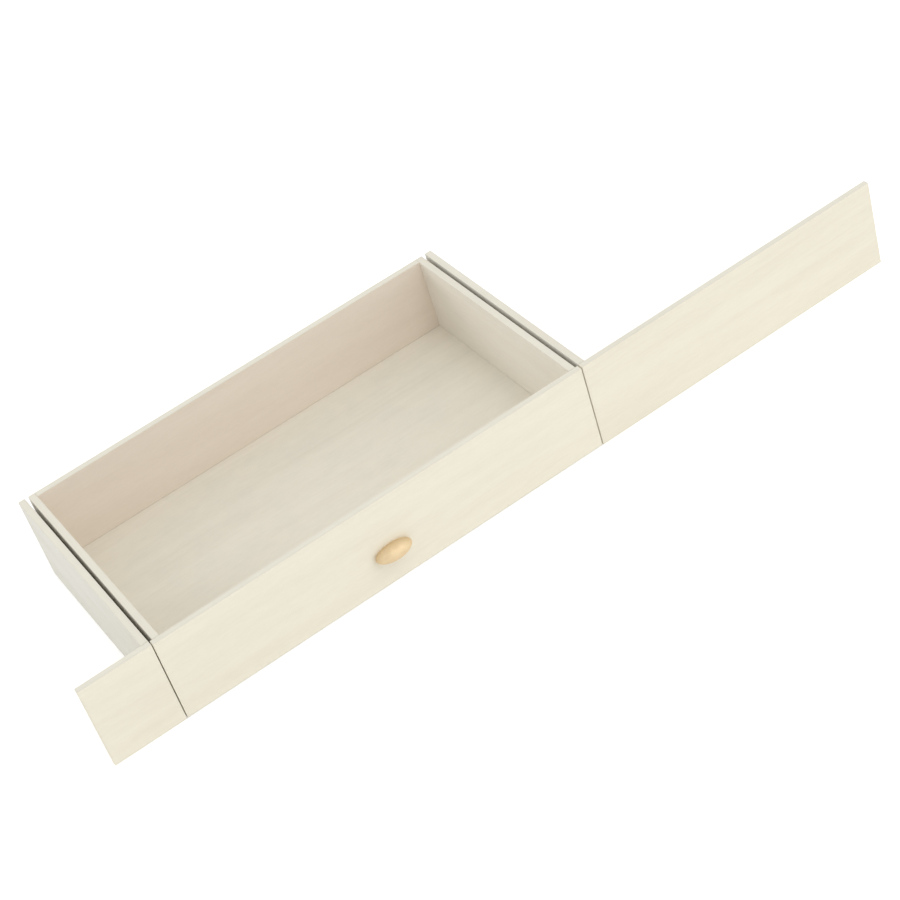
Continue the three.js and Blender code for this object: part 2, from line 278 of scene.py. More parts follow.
def make_limed_grain():
    """Year rings, broad streaks, short flecks and fine pores of wood whose grain runs along X."""
    group, tree, given, result = new_group(
        "limed grain",
        "ShaderNodeTree",
        [
            ("Vector", "Vector", None),
            ("Ring Width", "Float", 9.0 * MM),
            ("Waviness", "Float", 10.0 * MM),
            ("Streak Length", "Float", 0.24),
            ("Streak Width", "Float", 24.0 * MM),
            ("Fleck Length", "Float", 16.0 * MM),
            ("Fleck Width", "Float", 3.0 * MM),
            ("Pore Length", "Float", 8.0 * MM),
            ("Pore Width", "Float", 1.0 * MM),
        ],
        [(title, "Float") for title in ("Rings", "Streaks", "Flecks", "Pores", "Height")],
    )
    place = given["Vector"]
    # The fibres wander a little from the board's length
    sway = tree.stretched_noise(place, (3.0, 6.0, 6.0), detail=1.0)
    sway = tree.math("MULTIPLY", tree.math("SUBTRACT", sway, 0.5), given["Waviness"])
    place = tree.vector("ADD", place, tree.combine(0.0, sway, sway))
    # Rings lie round the trunk's axis; each one darkens towards its outer side, in some places more
    radius = tree.length(tree.vector("MULTIPLY", place, (0.02, 1.0, 1.0)))
    ring = tree.math("FRACT", tree.math("DIVIDE", radius, given["Ring Width"]))
    uneven = tree.stretched_noise(place, (5.0, 40.0, 40.0), detail=2.0)
    rings = tree.math("MULTIPLY", tree.math("POWER", ring, 2.0), tree.span(uneven, 0.35, 0.72))

    def drawn_out(size, detail, roughness, low, high):
        """Marks of one size, much longer than they are wide."""
        along = tree.math("DIVIDE", 1.0, given[f"{size} Length"])
        across = tree.math("DIVIDE", 1.0, given[f"{size} Width"])
        marks = tree.stretched_noise(
            place, tree.combine(along, across, across), detail=detail, roughness=roughness
        )
        return tree.span(marks, low, high)

    streaks = drawn_out("Streak", 3.0, 0.6, 0.30, 0.70)
    flecks = drawn_out("Fleck", 2.0, 0.6, 0.32, 0.68)
    pores = drawn_out("Pore", 1.0, 0.5, 0.62, 0.80)
    height = tree.math("SUBTRACT", tree.math("MULTIPLY", rings, 0.3), pores)
    found = {"Rings": rings, "Streaks": streaks, "Flecks": flecks, "Pores": pores, "Height": height}
    for title, value in found.items():
        tree.feed(result[title], value)
    return group


def make_edge_wear():
    """1 on the outer edges of a block with this centre and half size, fading over a ragged reach."""
    group, tree, given, result = new_group(
        "edge wear",
        "ShaderNodeTree",
        [
            ("Vector", "Vector", None),
            ("Centre", "Vector", None),
            ("Half Size", "Vector", None),
            ("Reach", "Float", 2.5 * MM),
        ],
        [("Wear", "Float")],
    )
    offset = tree.vector("ABSOLUTE", tree.vector("SUBTRACT", given["Vector"], given["Centre"]))
    inset = tree.vector("SUBTRACT", given["Half Size"], offset)
    x, y, z = tree.add("ShaderNodeSeparateXYZ", Vector=inset).outputs
    # The second smallest of the three distances to the faces is the distance to the nearest edge
    smaller, larger = tree.math("MINIMUM", x, y), tree.math("MAXIMUM", x, y)
    to_edge = tree.math("MAXIMUM", smaller, tree.math("MINIMUM", larger, z))
    ragged = tree.math("ADD", tree.noise(given["Vector"], 140.0), 0.5)
    tree.feed(result["Wear"], tree.span(to_edge, tree.math("MULTIPLY", given["Reach"], ragged), 0.0))
    return group


def make_settled_dust():
    """Fine dust in soft patches on faces that look up, and which faces those are."""
    group, tree, given, result = new_group(
        "settled dust",
        "ShaderNodeTree",
        [("Vector", "Vector", None), ("Patch Size", "Float", 30.0 * MM), ("Amount", "Float", 0.3)],
        [("Dust", "Float"), ("Upward", "Float")],
    )
    normal = tree.add("ShaderNodeNewGeometry").outputs["Normal"]
    upward = tree.span(tree.add("ShaderNodeSeparateXYZ", Vector=normal).outputs[2], 0.2, 0.9)
    patches = tree.noise(given["Vector"], tree.math("DIVIDE", 1.0, given["Patch Size"]), 4.0)
    lying = tree.math("MULTIPLY", upward, tree.span(patches, 0.35, 0.75))
    tree.feed(result["Dust"], tree.math("MULTIPLY", lying, given["Amount"]))
    tree.feed(result["Upward"], upward)
    return group


def make_metal_surface():
    """Fine lines along one way of working, soft blotches of plating, and a few scratches."""
    group, tree, given, result = new_group(
        "metal surface",
        "ShaderNodeTree",
        [
            ("Vector", "Vector", None),
            ("Line Scale", "Vector", (4000.0, 60.0, 4000.0)),
            ("Blotch Size", "Float", 9.0 * MM),
        ],
        [("Lines", "Float"), ("Blotches", "Float"), ("Scratches", "Float")],
    )
    place = given["Vector"]
    lines = tree.stretched_noise(place, given["Line Scale"], detail=2.0)
    blotches = tree.noise(place, tree.math("DIVIDE", 1.0, given["Blotch Size"]), 3.0, 0.6)
    scratches = tree.stretched_noise(place, (900.0, 120.0, 700.0), detail=1.0, roughness=0.3)
    tree.feed(result["Lines"], tree.span(lines, 0.3, 0.7))
    tree.feed(result["Blotches"], tree.span(blotches, 0.3, 0.7))
    tree.feed(result["Scratches"], tree.span(scratches, 0.70, 0.76))
    return group


LIMED_GRAIN = make_limed_grain()
EDGE_WEAR = make_edge_wear()
SETTLED_DUST = make_settled_dust()
METAL_SURFACE = make_metal_surface()

# Materials


def new_material(name, metallic=0.0, specular=0.5):
    """A material, its tree, the inputs of its surface, and the place on the piece."""
    material = bpy.data.materials.new(name)
    tree = emptied_tree(material)
    surface = tree.add("ShaderNodeBsdfPrincipled", Metallic=metallic, Specular_IOR_Level=specular)
    tree.add("ShaderNodeOutputMaterial", Surface=surface.outputs[0])
    place = tree.add("ShaderNodeTexCoord").outputs["Object"]
    return material, tree, surface.inputs, place


def group_node(tree, group, **inputs):
    return tree.add("ShaderNodeGroup", {"node_tree": group}, **inputs).outputs


def bumped(tree, surface, height, strength, distance):
    bump = tree.add("ShaderNodeBump", Strength=strength, Distance=distance, Height=height)
    tree.feed(surface["Normal"], bump.outputs[0])


def limed_wood(name, node, colour, top, along, log, depth):
    """Whitewashed wood for one board, its upward faces in the colour top; for most boards this is
    painted shade on their top edges.

    along is the way of its grain, log is where it was sawn from the trunk, and depth is how
    strongly its marks show.
    """
    material, tree, surface, place = new_material(name, specular=0.3)
    low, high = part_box(node)
    centre, half = middle(node), (Vector(high) - Vector(low)) / 2
    turn = {"X": 0.0, "Y": -math.pi / 2}[along]
    to_log = Vector(log) - Matrix.Rotation(turn, 3, "Z") @ centre
    sawn = tree.add("ShaderNodeMapping", Vector=place, Rotation=(0.0, 0.0, turn), Location=to_log)
    grain = group_node(tree, LIMED_GRAIN, Vector=sawn.outputs[0])
    wear = group_node(tree, EDGE_WEAR, Vector=place, Centre=centre, Half_Size=half)["Wear"]
    settled = group_node(tree, SETTLED_DUST, Vector=place, Amount=0.5)
    dust = settled["Dust"]
    # Upward faces take the top colour: painted shade where it is darker than the board's own
    tint = tree.mix(settled["Upward"], linear(colour), linear(top))
    # Each mark's place, how light and how warm it makes the wood, and its share
    for mark, lightness, warmth, share in (
        (grain["Streaks"], 0.968, 0.006, 0.50),
        (grain["Rings"], 0.970, 0.008, 0.40),
        (grain["Flecks"], 0.982, 0.003, 0.50),
        (grain["Pores"], 1.020, -0.004, 0.60),
        (wear, 0.970, 0.003, 0.55),
        (dust, 0.985, -0.008, 1.0),
    ):
        amount = tree.math("MULTIPLY", mark, share * depth)
        tint = tree.mix(amount, tint, linear(toned(WHITE, lightness, warmth)), "MULTIPLY")
    tree.feed(surface["Base Color"], tint)
    rough = tree.span(grain["Streaks"], 0.0, 1.0, 0.56, 0.68)
    tree.feed(surface["Roughness"], tree.math("MULTIPLY_ADD", dust, 0.4, rough))
    bumped(tree, surface, grain["Height"], 0.3, 0.15 * MM)
    return material


def dowel_wood():
    """Bare hardwood of the dowels, its grain along each dowel in the X or Y direction."""
    material, tree, surface, place = new_material("dowel wood", specular=0.3)
    grain = group_node(
        tree, LIMED_GRAIN, Vector=place, Ring_Width=1.1 * MM, Streak_Width=1.6 * MM,
        Streak_Length=20.0 * MM, Pore_Length=2.5 * MM, Pore_Width=0.25 * MM,
    )
    tint = tree.mix(grain["Streaks"], linear(DOWEL_WOOD), linear(toned(DOWEL_WOOD, 0.90, 0.02)))
    tint = tree.mix(grain["Rings"], tint, linear(toned(DOWEL_WOOD, 0.80, 0.04)))
    tree.feed(surface["Base Color"], tint)
    tree.feed(surface["Roughness"], tree.span(grain["Streaks"], 0.0, 1.0, 0.55, 0.72))
    bumped(tree, surface, grain["Height"], 0.3, 0.1 * MM)
    return material


def metal(name, colour, rough, line_scale, dust_amount=0.0, blotch=0.06, bump=0.12):
    """Worked metal: colour and gloss vary with the lines, the blotches and the scratches.

    rough is the roughness between the blotches and on them.
    """
    material, tree, surface, place = new_material(name, metallic=1.0)
    worked = group_node(tree, METAL_SURFACE, Vector=place, Line_Scale=line_scale)
    settled = group_node(tree, SETTLED_DUST, Vector=place, Patch_Size=8.0 * MM, Amount=dust_amount)
    dust = settled["Dust"]
    blotched = toned(colour, 1.0 - blotch, blotch / 5)
    tint = tree.mix(worked["Blotches"], linear(colour), linear(blotched))
    tint = tree.mix(worked["Scratches"], tint, linear(toned(colour, 1.05)))
    tint = tree.mix(dust, tint, linear(DUST))
    tree.feed(surface["Base Color"], tint)
    roughness = tree.span(worked["Blotches"], 0.0, 1.0, *rough)
    roughness = tree.math("MULTIPLY_ADD", worked["Lines"], 0.05, roughness)
    tree.feed(surface["Roughness"], tree.math("MULTIPLY_ADD", dust, 0.5, roughness))
    bumped(tree, surface, worked["Lines"], bump, 0.02 * MM)
    return material


RAIL_ZINC = metal("rail zinc", ZINC, (0.32, 0.44), (4000.0, 60.0, 4000.0), dust_amount=0.35)
CAGE_ZINC = metal("cage zinc", toned(ZINC, 0.96), (0.38, 0.50), (3500.0, 80.0, 3500.0))
SCREW_ZINC = metal("screw zinc", toned(ZINC, 1.04), (0.25, 0.36), (900.0, 2500.0, 2500.0))
BALL_STEEL = metal("ball steel", BRIGHT_STEEL, (0.10, 0.18), (1200.0, 1200.0, 1200.0), bump=0.04)
DOWEL = dowel_wood()

# Meshes


def new_object(name, mesh):
    thing = bpy.data.objects.new(name, mesh)
    scene.collection.objects.link(thing)
    return thing


def as_drawn(name, shape):
    """An object from a bmesh. The bmesh goes."""
    mesh = bpy.data.meshes.new(name)
    shape.to_mesh(mesh)
    shape.free()
    return new_object(name, mesh)


def from_shape(name, shape):
    """An object from a bmesh, its faces turned outwards. The bmesh goes."""
    bmesh.ops.recalc_face_normals(shape, faces=shape.faces)
    return as_drawn(name, shape)


def plain(source, name, smooth_below=40.0):
    """The source with its modifiers worked in, as a plain mesh. The source goes."""
    evaluated = source.evaluated_get(bpy.context.evaluated_depsgraph_get())
    mesh = bpy.data.meshes.new_from_object(evaluated)
    mesh.name = name
    bpy.data.objects.remove(source)
    mesh.shade_smooth()
    mesh.set_sharp_from_angle(angle=math.radians(smooth_below))
    return new_object(name, mesh)


def modified(piece, kind, **settings):
    modifier = piece.modifiers.new(kind.lower(), kind)
    for key, value in settings.items():
        setattr(modifier, key, value)


def boolean(piece, operation, tool):
    modified(piece, "BOOLEAN", operation=operation, object=tool, solver="EXACT")


def weighted(piece):
    """Large flat faces keep their own direction, so that only the narrow edge faces look rounded."""
    modified(piece, "WEIGHTED_NORMAL", keep_sharp=True, weight=80)


def on_body(piece, body, nodes, material=None):
    """Hands a finished piece over: its body and the CAD nodes it stands for."""
    if material:
        piece.data.materials.clear()
        piece.data.materials.append(material)
    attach(piece, body)
    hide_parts(*nodes)
    return piece


def middle(node):
    low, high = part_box(node)
    return (Vector(low) + Vector(high)) / 2


def end_plane(node, end):
    """The axis and the coordinate of an end of the node's box, such as -Y."""
    low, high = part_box(node)
    axis = "XY".index(end[1])
    return axis, (low if end[0] == "-" else high)[axis]


def merged_copy(node):
    """A CAD solid as one whole bmesh, with its flat faces undivided."""
    shape = bmesh.new()
    shape.from_mesh(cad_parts[node].data)
    bmesh.ops.remove_doubles(shape, verts=shape.verts, dist=MERGE_DISTANCE)
    bmesh.ops.dissolve_limit(shape, angle_limit=0.01, verts=shape.verts, edges=shape.edges)
    return shape


def eased_board(node, arris, butted=(), rise=0.0):
    """The board with its holes and grooves, and a small round on every long outward edge.

    The ends named in butted, such as -Y, meet another board and stay square, so that the
    joint shows no dark groove. The board's upper half is lifted by rise.
    """
    planes = [end_plane(node, end) for end in butted]
    shape = merged_copy(node)
    half_way_up = middle(node).z
    for vert in shape.verts:
        if vert.co.z > half_way_up:
            vert.co.z += rise

    def lies_in(edge, axis, plane):
        return all(abs(vert.co[axis] - plane) < 0.01 * MM for vert in edge.verts)

    edges = [
        edge for edge in shape.edges
        if len(edge.link_faces) == 2 and edge.is_convex
        and edge.calc_face_angle() > math.radians(60) and edge.calc_length() > SHORTEST_EASED
        and not any(lies_in(edge, axis, plane) for axis, plane in planes)
    ]
    bmesh.ops.bevel(
        shape, geom=edges, offset=arris, segments=3, profile=0.5, affect="EDGES", clamp_overlap=True
    )
    return shape


def skin(shape, loops):
    """Faces between each loop of corners and the next, and one face across the first loop."""
    for first, second in zip(loops, loops[1:]):
        for i in range(len(first)):
            j = (i + 1) % len(first)
            shape.faces.new((first[i], first[j], second[j], second[i]))
    shape.faces.new(loops[0])


def lathe(name, rings, sides):
    """A closed shape along +X from (x, radius) rings; a radius may be a function of the angle."""
    shape = bmesh.new()
    loops = []
    for x, radius in rings:
        loop = []
        for i in range(sides):
            angle = 2 * math.pi * i / sides
            r = radius(angle) if callable(radius) else radius
            loop.append(shape.verts.new((x, r * math.cos(angle), r * math.sin(angle))))
        loops.append(loop)
    skin(shape, loops)
    shape.faces.new(loops[-1])
    return from_shape(name, shape)


def threaded_rings(start, end, root, crest, pitch, tip):
    """Rings of a screw thread from start to end, narrowing to a blunt point over the last tip."""
    rings_per_turn, blunt, steepness = 6, 0.15, 3.2
    steps = math.ceil((end - start) / pitch * rings_per_turn)
    rings = []
    for i in range(steps + 1):
        x = start + (end - start) * i / steps
        taper = min(1.0, max(blunt, (end - x) / tip))

        def radius(angle, x=x, taper=taper):
            phase = (x / pitch + angle / (2 * math.pi)) % 1.0
            ridge = max(0.0, 1 - abs(phase - 0.5) * steepness)
            return (root + (crest - root) * ridge) * taper
        rings.append((x, radius))
    return rings


def cross_recess(length, width, depth):
    """The tapered cross that a screwdriver fits into, cut from x = 0."""
    shape = bmesh.new()
    outline = []
    for quarter in range(4):
        turn = Matrix.Rotation(quarter * math.pi / 2, 2)
        for corner in ((width / 2, width / 2), (length / 2, width / 2), (length / 2, -width / 2)):
            outline.append(turn @ Vector(corner))
    outline.sort(key=lambda p: math.atan2(p.y, p.x))
    loops = []
    # It starts wider than its mouth, in front of the head, and narrows to its bottom
    for x, scale in ((-depth, 1.15), (0.0, 1.0), (depth, 0.55)):
        loops.append([shape.verts.new((x, p.x * scale, p.y * scale)) for p in outline])
    skin(shape, loops)
    shape.faces.new(loops[-1])
    return from_shape("recess", shape)


def screw(name, head_rings, length, root, crest, pitch, tip, recess):
    """A screw driven along +X from its head face at x = 0."""
    thread = threaded_rings(head_rings[-1][0], length, root, crest, pitch, tip)
    body = lathe(name, head_rings + thread, SCREW_SIDES)
    cross = cross_recess(*recess)
    boolean(body, "DIFFERENCE", cross)
    finished = plain(body, name, smooth_below=50.0)
    bpy.data.objects.remove(cross)
    return finished


# Geometry nodes


def finish_group(tree, result, geometry, material):
    """Makes the geometry real and gives it out in this material."""
    real = tree.add("GeometryNodeRealizeInstances", Geometry=geometry)
    finish = tree.add("GeometryNodeSetMaterial", Geometry=real.outputs[0], Material=material)
    tree.feed(result["Geometry"], finish.outputs[0])


def make_two_rows():
    """Copies of a shape in two rows, each row with its own start and turn about Z."""
    group, tree, given, result = new_group(
        "two rows",
        "GeometryNodeTree",
        [
            ("Geometry", "Geometry", None),
            ("First Start", "Vector", None),
            ("Second Start", "Vector", None),
            ("First Turn", "Float", 0.0),
            ("Second Turn", "Float", 0.0),
            ("Step", "Vector", None),
            ("Count", "Int", 2),
            ("Material", "Material", None),
        ],
        [("Geometry", "Geometry")],
    )
    both = tree.add("GeometryNodeJoinGeometry")
    for row in ("First", "Second"):
        line = tree.add(
            "GeometryNodeMeshLine", {"mode": "OFFSET"},
            Count=given["Count"], Start_Location=given[f"{row} Start"], Offset=given["Step"],
        )
        turn = tree.combine(0.0, 0.0, given[f"{row} Turn"])
        copies = tree.add(
            "GeometryNodeInstanceOnPoints",
            Points=line.outputs[0], Instance=given["Geometry"], Rotation=turn,
        )
        tree.feed(both.inputs[0], copies.outputs[0])
    finish_group(tree, result, both.outputs[0], given["Material"])
    return group


def make_rolled_strip():
    """A bent strip of sheet metal: the drawn outline gets round bends and is rolled out along +Y."""
    group, tree, given, result = new_group(
        "rolled strip",
        "GeometryNodeTree",
        [
            ("Geometry", "Geometry", None),
            ("Length", "Float", 0.3),
            ("Bend Radius", "Float", BEND),
            ("Material", "Material", None),
        ],
        [("Geometry", "Geometry")],
    )
    outline = tree.add("GeometryNodeMeshToCurve", Mesh=given["Geometry"])
    bent = tree.add(
        "GeometryNodeFilletCurve", {"mode": "POLY"},
        Curve=outline.outputs[0], Count=4, Radius=given["Bend Radius"], Limit_Radius=True,
    )
    edge = tree.add("GeometryNodeCurveToMesh", Curve=bent.outputs[0])
    rolled = tree.add(
        "GeometryNodeExtrudeMesh", {"mode": "EDGES"},
        Mesh=edge.outputs[0], Offset=tree.combine(0.0, 1.0, 0.0), Offset_Scale=given["Length"],
    )
    finish_group(tree, result, rolled.outputs[0], given["Material"])
    return group


TWO_ROWS = make_two_rows()
ROLLED_STRIP = make_rolled_strip()


def run_nodes(source, group, **values):
    """Gives the source the tree as a modifier, with these named inputs."""
    modifier = source.modifiers.new(group.name, "NODES")
    modifier.node_group = group
    for item in group.interface.items_tree:
        key = item.name.replace(" ", "_")
        if item.in_out == "INPUT" and key in values:
            modifier[item.identifier] = values[key]
    return source


# The turn about Z that makes a shape drawn along +X run this way, and the end that it then starts from
WAYS = {"+X": 0.0, "+Y": math.pi / 2, "-X": math.pi, "-Y": -math.pi / 2}
BEHIND = {"+X": "-X", "+Y": "-Y", "-X": "+X", "-Y": "+Y"}


def start_of(node, way):
    """Where a shape that runs that way through the node's box begins."""
    start = middle(node)
    axis, plane = end_plane(node, BEHIND[way])
    start[axis] = plane
    return start


def rows(shape, name, first, second, following, count, material):
    """Two rows of the shape, each begun at (node, way).

    following is the node that comes after the first one of the first row.
    """
    run_nodes(
        shape, TWO_ROWS, Count=count, Material=material,
        First_Start=start_of(*first), Second_Start=start_of(*second),
        First_Turn=WAYS[first[1]], Second_Turn=WAYS[second[1]],
        Step=middle(following) - middle(first[0]),
    )
    return plain(shape, name, smooth_below=50.0)


# Boards

# piece, node, body, slot, screen colour (some with painted shade), way of the grain, where in the trunk
BOARDS = [
    ("left_fascia", "left_fascia_panel", "frame", "fascia_wood", FASCIA_WOOD, "X", (0.3, 0.09, 0.02)),
    ("right_fascia", "right_fascia_panel", "frame", "fascia_wood", FASCIA_WOOD, "X", (1.9, 0.07, 0.05)),
    ("left_hanger", "left_hanger_board", "frame", "board_wood", HANGER_WOOD_WITH_SHADE, "Y", (4.1, 0.11, 0.03)),
    ("right_hanger", "right_hanger_board", "frame", "board_wood", HANGER_WOOD_WITH_SHADE, "Y", (5.6, 0.08, 0.07)),
    ("front_panel", "drawer_front", "drawer", "front_wood", FRONT_WOOD, "X", (1.1, 0.08, 0.035)),
    ("left_side", "drawer_left_side", "drawer", "tray_wood", SIDE_WOOD, "Y", (7.0, 0.10, 0.04)),
    ("right_side", "drawer_right_side", "drawer", "tray_wood", SIDE_WOOD, "Y", (8.3, 0.06, 0.06)),
    ("back_board", "drawer_back", "drawer", "tray_wood", BACK_WOOD_WITH_SHADE, "X", (9.4, 0.09, 0.01)),
    ("floor_board", "drawer_floor", "drawer", "tray_wood", FLOOR_WOOD_WITH_SHADE, "X", (2.7, 0.10, 0.06)),
]

# The ends that butt against another board
BUTTED_ENDS = {
    "left_hanger": ["-Y"], "right_hanger": ["-Y"],
    "left_side": ["-Y"], "right_side": ["-Y"],
    "back_board": ["-X", "+X"],
}

for name, node, body, slot, colour, along, log in BOARDS:
    # The floor's upward face is its broad one and keeps the floor's own tone; the others' is their
    # narrow top edge, painted a darker, greyer colour as painted shade
    if node == "drawer_floor":
        shape = eased_board(node, FLOOR_ARRIS, rise=FLOOR_RISE)
        top, depth = colour, 1.1
    else:
        shape = eased_board(node, BOARD_ARRIS, BUTTED_ENDS.get(name, ()))
        top, depth = TOP_SHADE_WOOD, 1.0
    board = plain(from_shape("uncut", shape), name)
    title = f"limed wood {name.replace('_', ' ')}"
    material = limed_wood(title, node, colour, top, along, log, depth)
    weighted(on_body(board, body, [node], material))

# Screws


def countersunk_head():
    """Rings of a rail screw's head: a thin rim, then the cone."""
    radius, neck = SCREW_HEAD / 2, SCREW_DIAMETER / 2 * 0.9
    return [
        (0.0, radius - SCREW_RIM_CHAMFER), (SCREW_RIM_CHAMFER, radius), (SCREW_RIM_DEPTH, radius),
        (SCREW_HEAD_DEPTH, neck),
    ]


def pan_head():
    """Rings of the knob screw's head: flat in the middle, domed to its rim, flat below."""
    radius, depth, neck = KNOB_SCREW_HEAD / 2, KNOB_SCREW_HEAD_DEPTH, KNOB_SCREW_DIAMETER / 2 * 0.95
    # Shares of the radius and of the depth
    flat_share, domed_share, dome_height = 0.45, 0.55, 0.55
    steps = 6
    dome = [
        (depth * dome_height * (1 - math.cos(t)), radius * (flat_share + domed_share * math.sin(t)))
        for t in (i * math.pi / 2 / steps for i in range(steps + 1))
    ]
    return dome + [(depth, radius), (depth, neck)]


def rail_screw(length):
    return screw(
        "rail screw", countersunk_head(), length, SCREW_ROOT / 2, SCREW_DIAMETER / 2,
        SCREW_PITCH, SCREW_TIP, SCREW_RECESS,
    )


# The way each rail's screws are driven on the left and on the right: into the hanger, into the drawer
SCREW_WAYS = {"fixed": ("-X", "+X"), "moving": ("+X", "-X")}


def at_rail_screws(part, shape, name, material):
    """The shape at the place of every screw of the fixed or moving rails."""
    left_way, right_way = SCREW_WAYS[part]
    left, right = (f"{side}_{part}_rail_screw_1" for side in ("left", "right"))
    following = f"left_{part}_rail_screw_2"
    return rows(shape, name, (left, left_way), (right, right_way), following, SCREWS_IN_ROW, material)


for part, body, length in (
    ("fixed", "frame", FIXED_SCREW_LENGTH),
    ("moving", "drawer", MOVING_SCREW_LENGTH),
):
    screws = at_rail_screws(part, rail_screw(length), f"{part}_rail_screws", SCREW_ZINC)
    nodes = [
        f"{side}_{part}_rail_screw_{i + 1}" for side in ("left", "right") for i in range(SCREWS_IN_ROW)
    ]
    on_body(screws, body, nodes)

# Slides


def drawn_outline(points, base, inwards, y):
    """A slide's outline as a line of edges, ready to be rolled out."""
    shape = bmesh.new()
    corners = [
        shape.verts.new((base + inwards * across * MM, y, SLIDE_HEIGHT + up * MM))
        for across, up in points
    ]
    for first, second in zip(corners, corners[1:]):
        shape.edges.new((first, second))
    return as_drawn("outline", shape)


def strip(node, points, base, inwards, sheet, bend, material):
    """Sheet metal bent to the outline, as long as the node's box."""
    front, back = (corner[1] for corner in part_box(node))
    outline = drawn_outline(points, base, inwards, front)
    run_nodes(outline, ROLLED_STRIP, Length=back - front, Bend_Radius=bend, Material=material)
    modified(outline, "SOLIDIFY", thickness=sheet, offset=0.0, use_even_offset=True)
    thickened = plain(outline, "strip")
    shape = bmesh.new()
    shape.from_mesh(thickened.data)
    bmesh.ops.remove_doubles(shape, verts=shape.verts, dist=MERGE_DISTANCE)
    bpy.data.objects.remove(thickened)
    return from_shape("strip", shape)


def countersinks(part):
    """The clearance holes for the fixed or moving rails' screws, as a cutting shape."""
    head, shank = SCREW_HEAD / 2 + SCREW_PLAY, SCREW_DIAMETER / 2 + SCREW_PLAY
    rings = [
        (-SHEET, head), (0.0, head), (SCREW_HEAD_DEPTH + SCREW_PLAY, shank), (HOLE_DEPTH, shank)
    ]
    return at_rail_screws(part, lathe("hole", rings, HOLE_SIDES), f"{part} holes", RAIL_ZINC)


def block(name, low, high, arris):
    """A block between two corners, its edges eased."""
    shape = bmesh.new()
    bmesh.ops.create_cube(shape, size=1.0)
    size, centre = high - low, (high + low) / 2
    for vert in shape.verts:
        vert.co = Vector(a * b + c for a, b, c in zip(vert.co, size, centre))
    bmesh.ops.bevel(shape, geom=shape.edges[:], offset=arris, segments=2, profile=0.5, affect="EDGES")
    return from_shape(name, shape)


def stop_plate(node, base, inwards):
    """The bent tongue that closes the fixed rail's back end."""
    low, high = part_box(node)
    inner = base + inwards * STOP_WIDTH
    return block(
        "stop", Vector((min(base, inner), high[1] - SHEET, low[2])),
        Vector((max(base, inner), high[1], high[2])), STOP_ARRIS,
    )


def drilled_pockets(across, first_y):
    """Rods up and down through the cage at every ball, as a cutting shape.

    Every second rod is in the other row, so that the rods of a row lie well apart.
    """
    rings = [(-POCKET_REACH, BALL_POCKET / 2), (POCKET_REACH, BALL_POCKET / 2)]
    rod = lathe("pocket", rings, POCKET_SIDES)
    rod.data.transform(Matrix.Rotation(math.pi / 2, 4, "Y"))
    run_nodes(
        rod, TWO_ROWS, Count=BALLS_IN_ROW // 2, Step=Vector((0.0, 2 * BALL_PITCH, 0.0)),
        Material=CAGE_ZINC,
        First_Start=Vector((across, first_y, SLIDE_HEIGHT)),
        Second_Start=Vector((across, first_y + BALL_PITCH, SLIDE_HEIGHT)),
    )
    return plain(rod, "pockets")


def ball_rows(name, across, first_y):
    """The balls of one slide, a row below and a row above its middle."""
    shape = bmesh.new()
    bmesh.ops.create_icosphere(shape, subdivisions=3, radius=BALL_DIAMETER / 2)
    ball = run_nodes(
        from_shape("ball", shape), TWO_ROWS, Count=BALLS_IN_ROW,
        Step=Vector((0.0, BALL_PITCH, 0.0)), Material=BALL_STEEL,
        First_Start=Vector((across, first_y, SLIDE_HEIGHT - BALL_ROW)),
        Second_Start=Vector((across, first_y, SLIDE_HEIGHT + BALL_ROW)),
    )
    return plain(ball, name, smooth_below=180.0)


fixed_holes = countersinks("fixed")
moving_holes = countersinks("moving")

for side, inwards, outer_end in (("left", 1, "-X"), ("right", -1, "+X")):
    fixed_node, moving_node, cage_node = f"{side}_fixed_rail", f"{side}_moving_rail", f"{side}_ball_cage"
    base = end_plane(fixed_node, outer_end)[1]

    channel = strip(fixed_node, FIXED_RAIL, base, inwards, SHEET, BEND, RAIL_ZINC)
    stop = stop_plate(fixed_node, base, inwards)
    boolean(channel, "UNION", stop)
    boolean(channel, "DIFFERENCE", fixed_holes)
    rail = plain(channel, f"{side}_fixed_channel")
    bpy.data.objects.remove(stop)
    weighted(on_body(rail, "frame", [fixed_node], RAIL_ZINC))

    channel = strip(moving_node, MOVING_RAIL, base, inwards, SHEET, BEND, RAIL_ZINC)
    boolean(channel, "DIFFERENCE", moving_holes)
    rail = plain(channel, f"{side}_moving_channel")
    weighted(on_body(rail, "drawer", [moving_node], RAIL_ZINC))

    across = base + inwards * BALL_DISTANCE
    front, back = (corner[1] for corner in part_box(cage_node))
    first_y = (front + back - (BALLS_IN_ROW - 1) * BALL_PITCH) / 2
    channel = strip(cage_node, CAGE, base, inwards, CAGE_SHEET, CAGE_BEND, CAGE_ZINC)
    pockets = drilled_pockets(across, first_y)
    boolean(channel, "DIFFERENCE", pockets)
    cage = plain(channel, f"{side}_cage")
    bpy.data.objects.remove(pockets)
    weighted(on_body(cage, f"{side}_cage", [cage_node], CAGE_ZINC))
    on_body(ball_rows(f"{side}_balls", across, first_y), f"{side}_cage", [cage_node])

for holes in (fixed_holes, moving_holes):
    bpy.data.objects.remove(holes)

# Dowels


def fluted_dowel():
    """A dowel along +X with fine flutes and chamfered ends."""
    def fluted(angle):
        return DOWEL_DIAMETER / 2 - FLUTE_DEPTH * (0.5 - 0.5 * math.cos(angle * DOWEL_FLUTES))

    end = DOWEL_DIAMETER / 2 - DOWEL_CHAMFER * 0.6
    rings = [
        (0.0, end), (DOWEL_CHAMFER, fluted), (DOWEL_LENGTH - DOWEL_CHAMFER, fluted), (DOWEL_LENGTH, end)
    ]
    return lathe("dowel", rings, DOWEL_FLUTES * 4)


